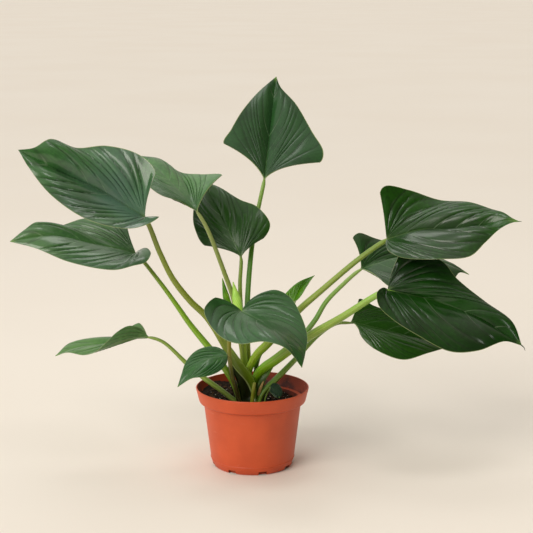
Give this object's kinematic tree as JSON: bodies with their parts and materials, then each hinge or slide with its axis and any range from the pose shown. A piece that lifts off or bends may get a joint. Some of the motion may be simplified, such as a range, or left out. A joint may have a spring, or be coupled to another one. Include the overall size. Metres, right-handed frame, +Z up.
{
  "type": "potted plant",
  "caption": "Homalomena plant with heart-shaped leaves on long sheathing stalks, growing in a round plastic nursery pot of soil.",
  "frame": {"origin": "centre of the pot's flat base", "axes": "+Z up the pot, X across the plant's widest spread, +Y to the plant's back"},
  "size_m": [0.6672, 0.3895, 0.5063],
  "materials": {
    "pot_plastic": "terracotta-coloured moulded plastic, satin, scuffed inside",
    "potting_soil": "dark fibrous potting mix with pale perlite grains",
    "stem_bark": "short leaf-scarred stem",
    "leaf_blade": "deep green, semi-gloss, veins sunk in the upper side, paler beneath",
    "young_leaf": "bright yellow-green, semi-gloss",
    "leaf_stalk": "smooth green to olive, satin, paler at the sheath edges",
    "dry_scale": "brown papery dry scale"
  },
  "bodies": {
    "root": {"pot": "pot_plastic", "soil": "potting_soil", "stem": "stem_bark", "rolled_leaf_left": "young_leaf", "rolled_leaf_front": "young_leaf", "cut_stalk": "leaf_stalk", "bract": "leaf_stalk", "dry_scale": "dry_scale", "stalk_young": "leaf_stalk", "stalk_centre": "leaf_stalk", "stalk_top": "leaf_stalk", "stalk_back_left": "leaf_stalk", "stalk_back_right": "leaf_stalk", "stalk_upper_right": "leaf_stalk", "stalk_front": "leaf_stalk", "stalk_lower_right": "leaf_stalk", "stalk_low_right": "leaf_stalk", "stalk_upper_left": "leaf_stalk", "stalk_lower_left": "leaf_stalk", "stalk_low_left": "leaf_stalk", "stalk_small": "leaf_stalk", "stalk_seedling": "leaf_stalk", "blade_young": "young_leaf", "blade_centre": "leaf_blade", "blade_top": "leaf_blade", "blade_back_left": "leaf_blade", "blade_back_right": "leaf_blade", "blade_upper_right": "leaf_blade", "blade_front": "leaf_blade", "blade_lower_right": "leaf_blade", "blade_low_right": "leaf_blade", "blade_upper_left": "leaf_blade", "blade_lower_left": "leaf_blade", "blade_low_left": "leaf_blade", "blade_small": "leaf_blade", "blade_seedling": "leaf_blade"}
  },
  "joints": []
}
